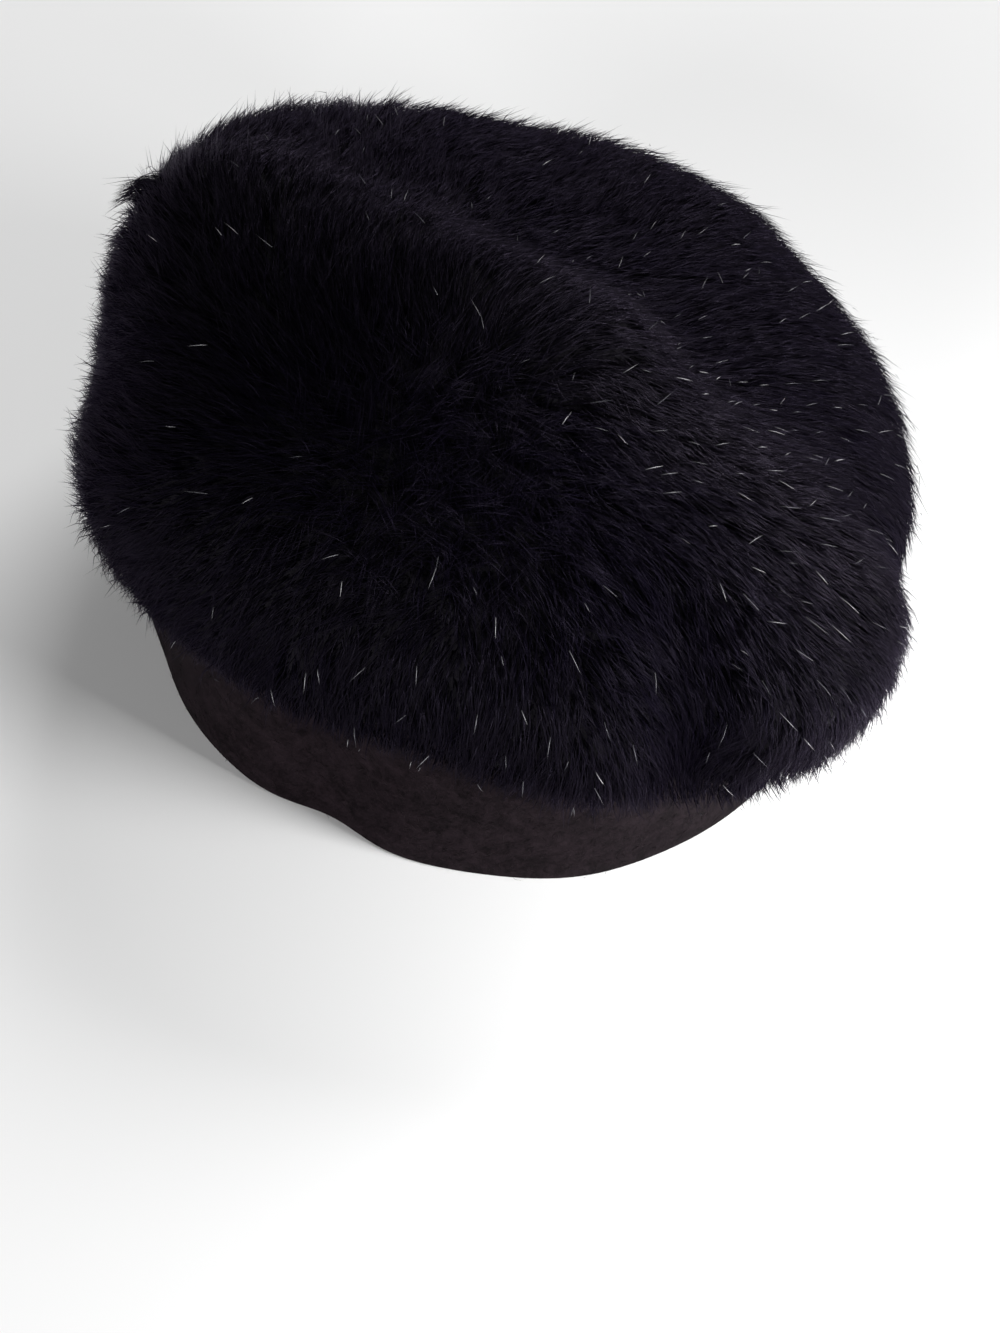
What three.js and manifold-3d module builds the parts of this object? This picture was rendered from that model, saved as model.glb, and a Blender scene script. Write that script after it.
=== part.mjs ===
// Fur pillbox hat: a felt band, a hollow felt crown and a deep fur cover over both.
// Millimetres, +Z up. The band's lower edge lies on z = 0, the front is towards -Y and the right is +X.
import * as THREE from "three";
import { mergeVertices } from "three/addons/utils/BufferGeometryUtils.js";
import Module from "manifold-3d";

const wasm = await Module();
wasm.setup();

// Driving dimensions
const GAP = 0.3; // clearance between neighbouring pieces
const SMALLEST_EDGE = 0.05; // slivers below this size are joined to their neighbours
const RIM = { halfWidth: 93, halfDepth: 96 }; // outside of the band, for a head of about 56 cm
const RIM_MIDDLE = { x: 5.6, y: -2.5 }; // puts the middle of the whole outline on the origin
const SIDES = 60; // facets round every turned piece
const BAND = { thickness: 2.4, height: 50, round: 0.4 };
const CROWN = { thickness: 2, foot: 1.5, spring: 51, top: 75, squareness: 3, domeRows: 6 };
const FUR = {
  waist: 51, // height of the widest section
  top: 97, // height of the fur over the middle
  lean: -5.5, // sideways shift of the soft body from the band, full at the waist
  tilt: -11, // rise of the right shoulder, so the left one is higher
  squareness: 3.2, // 2 is an ellipse, higher is boxier
};
const COAT = {
  strips: 30, // strips of fur side by side round the hem
  columns: 4, // facets across a strip
  locks: 5, // locks one behind another along a strip
  relief: 5, // depth of the grooves between locks
  wave: 0.05, // sideways wave of a strip, in radians
  waves: 1.25, // waves along a strip
};
const LOCKS = {
  length: 40,
  halfWidth: 5.5,
  sizeSpread: 0.22, // how much their sizes differ
  rowStep: 40, // spacing along the lie of the fur
  columnStep: 30, // spacing across it
  lowestRow: 0.3, // share of the way from the waist down to the hem
  overhang: 7, // how far a tip may hang below the hem
  swirl: 0.35, // largest turn away from the lie of the fur, in radians
  bend: 0.2, // largest further turn at each station, in radians
};
const WHORL = { azimuth: -1.7, share: 0.42 }; // the fur lies away from this place on the top
const TOP_SPREAD = 0.35; // 0 spaces the way from middle to hem by angle, more gives the top more of it
const DROOP = 0.7; // pull of the lie towards the floor

// One row for each eighth of the way round, from the right by way of the back
const SECTIONS = [
  { at: "right", reach: 107, hem: 24, hemReach: 102 },
  { at: "back right", reach: 112, hem: 27, hemReach: 101 },
  { at: "back", reach: 111, hem: 30, hemReach: 101 },
  { at: "back left", reach: 115, hem: 33, hemReach: 102 },
  { at: "left", reach: 108, hem: 36, hemReach: 100 },
  { at: "front left", reach: 108, hem: 45, hemReach: 99 },
  { at: "front", reach: 104, hem: 45, hemReach: 98 },
  { at: "front right", reach: 117, hem: 32, hemReach: 107 },
];

// One row for each dent or bulge of the felt wall, in radians round it and millimetres deep
const DENTS = [
  { dent: "front left dent", azimuth: -1.86, halfWidth: 0.1, depth: 4.2 },
  { dent: "left dent", azimuth: -2.6, halfWidth: 0.12, depth: 1.6 },
  { dent: "front bulge", azimuth: -1.19, halfWidth: 0.14, depth: -1.4 },
];

// One row for each fold: a line from one point to another, raised or sunk over its half width
const FOLDS = [
  { fold: "top ridge, left half", from: [-78, 18, 98], to: [12, -4, 91], halfWidth: 11, rise: 8 },
  { fold: "top ridge, right half", from: [12, -4, 91], to: [78, -46, 77], halfWidth: 10, rise: 8 },
  { fold: "dip behind the ridge", from: [-20, 30, 97], to: [56, 0, 84], halfWidth: 12, rise: -2 },
  { fold: "sunken front left", from: [-42, -50, 94], to: [14, -62, 89], halfWidth: 22, rise: -8 },
  { fold: "front right valley", from: [46, -86, 80], to: [54, -94, 48], halfWidth: 8, rise: -8 },
  { fold: "front right lobe", from: [74, -80, 66], to: [86, -62, 58], halfWidth: 15, rise: 5 },
  { fold: "front right tuck", from: [77, -83, 42], to: [87, -74, 43], halfWidth: 8, rise: -4 },
  { fold: "right notch", from: [92, -30, 70], to: [98, -28, 56], halfWidth: 9, rise: -5 },
  { fold: "back right shoulder", from: [14, 90, 84], to: [46, 84, 81], halfWidth: 16, rise: 3 },
  { fold: "back right dip", from: [64, 77, 78], to: [82, 62, 72], halfWidth: 10, rise: -3 },
  { fold: "back dip", from: [-30, 95, 86], to: [-18, 96, 86], halfWidth: 8, rise: -2.5 },
  { fold: "back left corner", from: [-96, 36, 88], to: [-84, 60, 86], halfWidth: 17, rise: 4 },
  { fold: "left point", from: [-112, 28, 85], to: [-116, 27, 85], halfWidth: 5, rise: 7 },
  { fold: "left pinch", from: [-112, -14, 58], to: [-112, 0, 66], halfWidth: 8, rise: -4 },
  { fold: "left hollow", from: [-98, -44, 80], to: [-104, -24, 74], halfWidth: 11, rise: -6 },
  { fold: "left tuft", from: [-102, -56, 66], to: [-100, -62, 58], halfWidth: 8, rise: 4 },
];

// One row for each row of facets along a lock of the coat, in shares of the relief
const COAT_ROWS = [
  { groove: 0, flank: 0, middle: 0.1 },
  { groove: 0, flank: 0.4, middle: 0.55 },
  { groove: 0, flank: 0.65, middle: 0.85 },
  { groove: 0, flank: 0.25, middle: 1 },
];

// One row for each station along a free lock, from its buried root to its tip
const LOCK_STATIONS = [
  { stride: 0.4, width: 0, lift: -9 },
  { stride: 0.35, width: 1, lift: -3 },
  { stride: 0.25, width: 0.7, lift: -1.2 },
  { stride: 0, width: 0, lift: 0.8 },
];

// One row for each corner of a free lock's section, across it in half widths
const LOCK_SECTION = [
  { across: -1, height: -3 },
  { across: -0.4, height: 2 },
  { across: 0.4, height: 2 },
  { across: 1, height: -3 },
];

const FINISH = {
  band: { color: 0x352b2e, roughness: 0.9, metalness: 0 },
  crown: { color: 0x2b2426, roughness: 0.95, metalness: 0 },
  fur_cover: { color: 0x120f14, roughness: 0.7, metalness: 0 },
};

// Solids and meshes

/** Keeps only the shared positions, so that neighbouring triangles meet in the same vertices. */
function welded(geometry) {
  geometry.deleteAttribute("normal");
  geometry.deleteAttribute("uv");
  return mergeVertices(geometry, 1e-4);
}

function toSolid(geometry) {
  const mesh = new wasm.Mesh({
    numProp: 3,
    vertProperties: Float32Array.from(geometry.attributes.position.array),
    triVerts: Uint32Array.from(geometry.index.array),
  });
  return new wasm.Manifold(mesh);
}

function toGeometry(solid) {
  const { vertProperties, triVerts } = solid.getMesh();
  const geometry = new THREE.BufferGeometry();
  geometry.setAttribute("position", new THREE.BufferAttribute(vertProperties, 3));
  geometry.setIndex(new THREE.BufferAttribute(triVerts, 1));
  return geometry;
}

function namedMesh(name, geometry) {
  geometry.computeVertexNormals();
  const mesh = new THREE.Mesh(geometry, new THREE.MeshStandardMaterial(FINISH[name]));
  mesh.name = name;
  return mesh;
}

/** Depth of all dents together: full up to the spring line, fading away over the dome. */
function dentDepth(azimuth, height) {
  const fade = 1 - THREE.MathUtils.smoothstep(height, CROWN.spring, CROWN.top);
  return DENTS.reduce((sum, dent) => {
    const away = (azimuth - dent.azimuth) / dent.halfWidth;
    return sum + fade * dent.depth * Math.exp(-(away ** 2) / 2);
  }, 0);
}

/** Turns a profile of [radius, height] pairs about Z, stretches it to the rim's oval and dents it. */
function ovalTurn(profile) {
  const points = profile.map(([radius, height]) => new THREE.Vector2(radius, height));
  const geometry = new THREE.LatheGeometry(points, SIDES);
  geometry.rotateX(Math.PI / 2);
  geometry.scale(1, RIM.halfDepth / RIM.halfWidth, 1);
  const position = geometry.attributes.position;
  for (let index = 0; index < position.count; index += 1) {
    const [x, y, z] = [position.getX(index), position.getY(index), position.getZ(index)];
    const radius = Math.hypot(x, y);
    const kept = radius > 0 ? 1 - dentDepth(Math.atan2(y, x), z) / radius : 1;
    position.setXY(index, x * kept, y * kept);
  }
  return welded(geometry);
}

/** Closed skin through rings of equal length, from a first point to a last one. */
function skin(first, rings, last) {
  const positions = [first, ...rings.flat(), last].flatMap((point) => point.toArray());
  const sides = rings[0].length;
  const at = (row, side) => 1 + row * sides + (side % sides);
  const end = 1 + rings.length * sides;
  const index = [];
  for (let side = 0; side < sides; side += 1) {
    index.push(0, at(0, side), at(0, side + 1));
    for (let row = 0; row + 1 < rings.length; row += 1) {
      index.push(at(row, side), at(row + 1, side), at(row + 1, side + 1));
      index.push(at(row, side), at(row + 1, side + 1), at(row, side + 1));
    }
    index.push(end, at(rings.length - 1, side + 1), at(rings.length - 1, side));
  }
  const geometry = new THREE.BufferGeometry();
  geometry.setAttribute("position", new THREE.Float32BufferAttribute(positions, 3));
  geometry.setIndex(index);
  return geometry;
}

/** Repeatable value between -1 and 1 for a lock or strip. */
function jitter(lock, salt) {
  return 2 * THREE.MathUtils.seededRandom(lock * 7 + salt * 131 + 1) - 1;
}

// Felt pieces

/** Profile rows of a dome, from its spring line up to its crown on the axis. */
function domeProfile(radius, spring, top) {
  const rows = [];
  for (let row = 0; row <= CROWN.domeRows; row += 1) {
    const angle = (Math.PI / 2) * (row / CROWN.domeRows);
    const power = 2 / CROWN.squareness;
    const reach = row === CROWN.domeRows ? 0 : radius * Math.cos(angle) ** power;
    rows.push([reach, spring + (top - spring) * Math.sin(angle) ** power]);
  }
  return rows;
}

function bandGeometry() {
  const outer = RIM.halfWidth;
  const inner = outer - BAND.thickness;
  const { height, round } = BAND;
  return ovalTurn([
    [inner + round, 0],
    [outer - round, 0],
    [outer, round],
    [outer, height - round],
    [outer - round, height],
    [inner + round, height],
    [inner, height - round],
    [inner, round],
    [inner + round, 0],
  ]);
}

function crownGeometry() {
  const outer = RIM.halfWidth - BAND.thickness - GAP;
  const inner = outer - CROWN.thickness;
  const outside = domeProfile(outer, CROWN.spring, CROWN.top);
  const inside = domeProfile(inner, CROWN.spring, CROWN.top - CROWN.thickness).reverse();
  return ovalTurn([...inside, [inner, CROWN.foot], [outer, CROWN.foot], ...outside]);
}

/** Room that the fur leaves for the band and the crown inside it. */
function coreGeometry() {
  const radius = RIM.halfWidth + GAP;
  const dome = domeProfile(radius, CROWN.spring, CROWN.top + GAP);
  return ovalTurn([[0, -CROWN.foot], [radius, -CROWN.foot], ...dome]);
}

// Outer form of the fur

/** Smooth value of one column of SECTIONS at an azimuth, by a closed Catmull-Rom curve. */
function sectionValue(column, azimuth) {
  const count = SECTIONS.length;
  const turns = azimuth / (2 * Math.PI);
  const place = (turns - Math.floor(turns)) * count;
  const row = Math.floor(place);
  const [a, b, c, d] = [-1, 0, 1, 2].map((step) => SECTIONS[(row + step + count) % count][column]);
  const t = place - row;
  const linear = c - a;
  const square = 2 * a - 5 * b + 4 * c - d;
  const cube = 3 * b - a - 3 * c + d;
  return b + 0.5 * (linear * t + square * t ** 2 + cube * t ** 3);
}

/** Distance of the unfolded form from the waist's middle: a superellipse above it, an ellipse below. */
function formRadius(azimuth, elevation, inset) {
  const reach = sectionValue("reach", azimuth) - inset;
  const across = Math.abs(Math.cos(elevation));
  const upward = Math.sin(elevation);
  if (upward >= 0) {
    const rise = FUR.top - FUR.waist - inset + FUR.tilt * Math.cos(azimuth) * across;
    const power = FUR.squareness;
    return ((across / reach) ** power + (upward / rise) ** power) ** (-1 / power);
  }
  const tuck = Math.min(sectionValue("hemReach", azimuth) / reach, 0.99);
  const drop = (FUR.waist - sectionValue("hem", azimuth)) / Math.sqrt(1 - tuck ** 2);
  return ((across / reach) ** 2 + (upward / drop) ** 2) ** -0.5;
}

function leanAt(height) {
  return FUR.lean * THREE.MathUtils.clamp(height / FUR.waist, 0, 1);
}

/** Height of all folds together at a point of the form. */
function foldRise(point) {
  const nearest = new THREE.Vector3();
  return FOLDS.reduce((sum, { from, to, halfWidth, rise }) => {
    const line = new THREE.Line3(new THREE.Vector3(...from), new THREE.Vector3(...to));
    line.closestPointToPoint(point, true, nearest);
    return sum + rise * Math.exp(-point.distanceToSquared(nearest) / (2 * halfWidth ** 2));
  }, 0);
}

/** Point of the fur's outer form, or of a form that lies inset below it. */
function furPoint(azimuth, elevation, inset = 0) {
  const across = Math.cos(elevation);
  const way = new THREE.Vector3(Math.cos(azimuth) * across, Math.sin(azimuth) * across, Math.sin(elevation));
  const point = way.clone().multiplyScalar(formRadius(azimuth, elevation, inset));
  point.z += FUR.waist;
  point.x += leanAt(point.z);
  return point.addScaledVector(way, foldRise(point));
}

/** Azimuth and elevation under which a point is seen from the waist's middle. */
function anglesOf(point) {
  const x = point.x - leanAt(point.z);
  const azimuth = Math.atan2(point.y, x);
  const elevation = Math.atan2(point.z - FUR.waist, Math.hypot(x, point.y));
  return { azimuth, elevation };
}

/** Elevation of the fur's lower edge at an azimuth. */
function hemElevation(azimuth) {
  return Math.atan2(sectionValue("hem", azimuth) - FUR.waist, sectionValue("hemReach", azimuth));
}

function furNormal(azimuth, elevation) {
  const step = 0.02;
  const along = furPoint(azimuth + step, elevation).sub(furPoint(azimuth - step, elevation));
  const up = furPoint(azimuth, elevation + step).sub(furPoint(azimuth, elevation - step));
  return along.cross(up).normalize();
}

/** Elevation at a share of the way from the middle of the top (0) to the hem (1). */
function elevationAt(azimuth, share) {
  const hem = hemElevation(azimuth);
  const left = 1 - Math.min(share, 1);
  return hem + (Math.PI / 2 - hem) * THREE.MathUtils.lerp(left, left ** 3, TOP_SPREAD);
}

// Coat

const COAT_COLUMNS = COAT.strips * COAT.columns;
const COAT_LENGTH = COAT.locks * COAT_ROWS.length;

/** Angles of a place on the coat, on the straight way from the whorl to the hem on a flat chart. */
function coatAngles(column, row) {
  const strip = Math.floor(column / COAT.columns);
  const along = row / COAT_LENGTH;
  const sway = COAT.wave * Math.sin(2 * Math.PI * COAT.waves * along + Math.PI * jitter(strip, 4));
  const end = (2 * Math.PI * column) / COAT_COLUMNS + sway * (1 - along);
  const x = THREE.MathUtils.lerp(WHORL.share * Math.cos(WHORL.azimuth), Math.cos(end), along);
  const y = THREE.MathUtils.lerp(WHORL.share * Math.sin(WHORL.azimuth), Math.sin(end), along);
  const azimuth = Math.atan2(y, x);
  return { azimuth, elevation: elevationAt(azimuth, Math.hypot(x, y)) };
}

/** Point of the coat, whose strips of locks overlap like shingles. */
function coatPoint(column, row) {
  const { azimuth, elevation } = coatAngles(column, row);
  const strip = Math.floor(column / COAT.columns);
  const stagger = Math.floor(2 * COAT_ROWS.length * Math.abs(jitter(strip, 5)));
  const { groove, flank, middle } = COAT_ROWS[(row + stagger) % COAT_ROWS.length];
  const share = [groove, flank, middle, flank][column % COAT.columns];
  const depth = COAT.relief * Math.min(1, row / COAT_ROWS.length);
  return furPoint(azimuth, elevation, depth * (1 - share));
}

/** Coat on its backing as a filled solid, whose inside is cut away later. */
function coatGeometry() {
  const rings = [];
  for (let row = 1; row <= COAT_LENGTH; row += 1) {
    rings.push(Array.from({ length: COAT_COLUMNS }, (_, column) => coatPoint(column, row)));
  }
  const whorl = furPoint(WHORL.azimuth, elevationAt(WHORL.azimuth, WHORL.share));
  return skin(whorl, rings, new THREE.Vector3(0, 0, FUR.waist));
}

// Free locks

/** Lie of the fur at a point: away from the whorl and downward, along the surface. */
function furLie(point, normal, turn) {
  const whorl = furPoint(WHORL.azimuth, elevationAt(WHORL.azimuth, WHORL.share));
  const lie = point.clone().sub(whorl).normalize();
  lie.z -= DROOP;
  return lie.projectOnPlane(normal).normalize().applyAxisAngle(normal, turn);
}

/** Roots of all locks as azimuth and elevation, in rows a step apart from the hem to the top. */
function lockRoots() {
  const roots = [];
  const fine = 0.01;
  let walked = 0.5 * LOCKS.rowStep;
  for (let elevation = LOCKS.lowestRow * hemElevation(0); elevation < Math.PI / 2; elevation += fine) {
    const point = furPoint(0, elevation);
    walked += point.distanceTo(furPoint(0, elevation - fine));
    if (walked < LOCKS.rowStep) continue;
    walked = 0;
    const girth = 2 * Math.PI * Math.hypot(point.x, point.y);
    const count = Math.max(3, Math.round(girth / LOCKS.columnStep));
    const offset = roots.length;
    for (let column = 0; column < count; column += 1) {
      roots.push({ azimuth: (2 * Math.PI * column) / count + offset, elevation });
    }
  }
  return roots;
}

/** Leaf-shaped lock that rises out of the backing, follows the lie of the fur and ends in a free tip. */
function lockGeometry({ azimuth, elevation }, lock) {
  const size = 1 + LOCKS.sizeSpread * jitter(lock, 1);
  const toHem = furPoint(azimuth, elevation).distanceTo(furPoint(azimuth, hemElevation(azimuth)));
  const length = Math.min(LOCKS.length * size, toHem + LOCKS.overhang);
  const bend = LOCKS.bend * jitter(lock, 2);
  let turn = LOCKS.swirl * jitter(lock, 3);
  let point = furPoint(azimuth, elevation);
  const stations = LOCK_STATIONS.map(({ stride, width, lift }) => {
    const seen = anglesOf(point);
    const normal = furNormal(seen.azimuth, seen.elevation);
    const along = furLie(point, normal, turn);
    const side = normal.clone().cross(along);
    const middle = point.clone().addScaledVector(normal, lift);
    const next = point.clone().addScaledVector(along, stride * length);
    const ahead = anglesOf(next);
    const onForm = ahead.elevation > hemElevation(ahead.azimuth);
    point = onForm ? furPoint(ahead.azimuth, ahead.elevation) : next;
    turn += bend;
    return { middle, normal, side, halfWidth: width * LOCKS.halfWidth * size };
  });
  const rings = stations.slice(1, -1).map(({ middle, normal, side, halfWidth }) => LOCK_SECTION.map(
    ({ across, height }) => middle.clone()
      .addScaledVector(side, across * halfWidth)
      .addScaledVector(normal, height),
  ));
  return skin(stations[0].middle, rings, stations[stations.length - 1].middle);
}

/** Backing with its locks fused on, hollowed for the felt pieces. */
function furGeometry() {
  const locks = lockRoots().map((root, lock) => toSolid(lockGeometry(root, lock)));
  const furred = locks.reduce((sum, lock) => sum.add(lock), toSolid(coatGeometry()));
  const cover = furred.subtract(toSolid(coreGeometry()));
  const bodies = cover.decompose().sort((a, b) => b.volume() - a.volume());
  return toGeometry(bodies[0].simplify(SMALLEST_EDGE));
}

// Assembly
const hat = new THREE.Group();
hat.add(namedMesh("band", bandGeometry()));
hat.add(namedMesh("crown", crownGeometry()));
hat.add(namedMesh("fur_cover", furGeometry()));
hat.position.set(RIM_MIDDLE.x, RIM_MIDDLE.y, 0);

export default hat;
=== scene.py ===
"""Dresses the fur pillbox hat: a felt band, a felt crown and a deep coat of black fur.

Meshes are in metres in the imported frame: the band stands on z = 0 and the front looks towards -Y.
The fur's form is worked out in millimetres about the middle of the band's oval, as in the part's source.
"""

from __future__ import annotations

import logging
import math
from dataclasses import dataclass, field
from enum import Enum

import bpy
import numpy as np
from mathutils import Matrix, Vector

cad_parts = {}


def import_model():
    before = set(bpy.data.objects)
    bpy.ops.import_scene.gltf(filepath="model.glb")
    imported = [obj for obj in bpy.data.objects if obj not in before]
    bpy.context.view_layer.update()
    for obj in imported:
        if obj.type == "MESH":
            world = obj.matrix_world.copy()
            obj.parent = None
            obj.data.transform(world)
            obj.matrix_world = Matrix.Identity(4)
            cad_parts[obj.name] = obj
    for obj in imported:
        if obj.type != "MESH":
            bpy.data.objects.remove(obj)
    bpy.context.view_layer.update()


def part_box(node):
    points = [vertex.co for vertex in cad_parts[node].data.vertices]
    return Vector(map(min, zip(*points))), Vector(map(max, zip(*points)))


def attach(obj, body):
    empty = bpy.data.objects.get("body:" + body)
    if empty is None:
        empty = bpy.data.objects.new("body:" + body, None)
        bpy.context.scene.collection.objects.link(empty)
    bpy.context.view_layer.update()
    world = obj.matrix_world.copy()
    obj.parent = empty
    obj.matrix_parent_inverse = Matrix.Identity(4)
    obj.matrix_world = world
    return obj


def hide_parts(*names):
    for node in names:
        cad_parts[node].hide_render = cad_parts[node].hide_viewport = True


LOG = logging.getLogger("fur_hat")
MM = 0.001
SEED = 71
GOLDEN_STEPS = (0.7548776662, 0.5698402910)
DOME_END = 0.97
HAIR_SIDE_GUIDE = (0.31, 0.17, 0.93)
HAIR_TAPER = 1.6
BODY = "root"


# Small tools for arrays and meshes


def unit(vectors: np.ndarray) -> np.ndarray:
    """Scales vectors along the last axis to length one."""
    return vectors / np.maximum(np.linalg.norm(vectors, axis=-1, keepdims=True), 1e-12)


def grid_faces(rows: int, columns: int) -> np.ndarray:
    """Quads of a grid that closes on itself along its columns.

    Args:
        rows: number of rings.
        columns: number of points on each ring.

    Returns:
        Array of corner indices, one row of four for each quad.
    """
    row, column = np.meshgrid(np.arange(rows - 1), np.arange(columns), indexing="ij")
    after = (column + 1) % columns
    here = row * columns
    below = (row + 1) * columns
    quads = [here + column, here + after, below + after, below + column]
    return np.stack(quads, axis=-1).reshape(-1, 4)


def pole_faces(pole: int, ring: int, columns: int, upward: bool) -> np.ndarray:
    """Triangles from a pole to the ring that starts at a given index.

    Args:
        pole: index of the pole's point.
        ring: index of the ring's first point.
        columns: number of points on the ring.
        upward: whether the fan is wound for a pole that comes before the ring.

    Returns:
        Array of corner indices, one row of three for each triangle.
    """
    here = ring + np.arange(columns)
    after = ring + (np.arange(columns) + 1) % columns
    fan = [np.full(columns, pole), after, here] if upward else [np.full(columns, pole), here, after]
    return np.stack(fan, axis=-1)


def add_piece(
    name: str,
    points: np.ndarray,
    faces: list[np.ndarray],
    material: bpy.types.Material,
    values: dict[str, np.ndarray] | None = None,
) -> bpy.types.Object:
    """Makes a smooth mesh object from whole arrays and lets it ride on the hat.

    Args:
        name: name of the piece.
        points: positions in metres, one row for each point.
        faces: arrays of corner indices, each with a fixed number of corners.
        material: finish of the piece.
        values: named values, one for each point, for the material to read.

    Returns:
        The new object.
    """
    corners = np.concatenate([part.ravel() for part in faces]).astype(np.int32)
    sizes = np.concatenate([np.full(len(part), part.shape[1]) for part in faces])
    starts = np.concatenate([[0], np.cumsum(sizes)[:-1]]).astype(np.int32)
    mesh = bpy.data.meshes.new(name)
    mesh.vertices.add(len(points))
    mesh.vertices.foreach_set("co", np.ascontiguousarray(points, dtype=np.float32).ravel())
    mesh.loops.add(len(corners))
    mesh.loops.foreach_set("vertex_index", corners)
    mesh.polygons.add(len(starts))
    mesh.polygons.foreach_set("loop_start", starts)
    mesh.polygons.foreach_set("use_smooth", np.ones(len(starts), dtype=bool))
    for key, array in (values or {}).items():
        layer = mesh.attributes.new(key, "FLOAT", "POINT")
        layer.data.foreach_set("value", np.ascontiguousarray(array, dtype=np.float32).ravel())
    mesh.update(calc_edges=True)
    mesh.materials.append(material)
    piece = bpy.data.objects.new(name, mesh)
    bpy.context.scene.collection.objects.link(piece)
    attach(piece, BODY)
    triangles = int((sizes - 2).sum())
    LOG.info("%s: %d points, %d triangles", name, len(points), triangles)
    return piece


# Form of the fur


@dataclass(frozen=True)
class Section:
    """One eighth of the fur's outline, in millimetres."""

    at: str
    reach: float
    hem: float
    hem_reach: float


@dataclass(frozen=True)
class Fold:
    """A line on the form that is raised or sunk over its half width, in millimetres."""

    name: str
    start: tuple[float, float, float]
    end: tuple[float, float, float]
    half_width: float
    rise: float


SECTIONS: tuple[Section, ...] = (
    Section("right", reach=107, hem=24, hem_reach=102),
    Section("back right", reach=112, hem=27, hem_reach=101),
    Section("back", reach=111, hem=30, hem_reach=101),
    Section("back left", reach=115, hem=33, hem_reach=102),
    Section("left", reach=108, hem=36, hem_reach=100),
    Section("front left", reach=108, hem=45, hem_reach=99),
    Section("front", reach=104, hem=45, hem_reach=98),
    Section("front right", reach=117, hem=32, hem_reach=107),
)

FOLDS: tuple[Fold, ...] = (
    Fold("top ridge, left half", (-78, 18, 98), (12, -4, 91), half_width=11, rise=8),
    Fold("top ridge, right half", (12, -4, 91), (78, -46, 77), half_width=10, rise=8),
    Fold("dip behind the ridge", (-20, 30, 97), (56, 0, 84), half_width=12, rise=-2),
    Fold("sunken front left", (-42, -50, 94), (14, -62, 89), half_width=22, rise=-8),
    Fold("front right valley", (46, -86, 80), (54, -94, 48), half_width=8, rise=-8),
    Fold("front right lobe", (74, -80, 66), (86, -62, 58), half_width=15, rise=5),
    Fold("front right tuck", (77, -83, 42), (87, -74, 43), half_width=8, rise=-4),
    Fold("right notch", (92, -30, 70), (98, -28, 56), half_width=9, rise=-5),
    Fold("back right shoulder", (14, 90, 84), (46, 84, 81), half_width=16, rise=3),
    Fold("back right dip", (64, 77, 78), (82, 62, 72), half_width=10, rise=-3),
    Fold("back dip", (-30, 95, 86), (-18, 96, 86), half_width=8, rise=-2.5),
    Fold("back left corner", (-96, 36, 88), (-84, 60, 86), half_width=17, rise=4),
    Fold("left point", (-112, 28, 85), (-116, 27, 85), half_width=5, rise=7),
    Fold("left pinch", (-112, -14, 58), (-112, 0, 66), half_width=8, rise=-4),
    Fold("left hollow", (-98, -44, 80), (-104, -24, 74), half_width=11, rise=-6),
    Fold("left tuft", (-102, -56, 66), (-100, -62, 58), half_width=8, rise=4),
)


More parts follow.
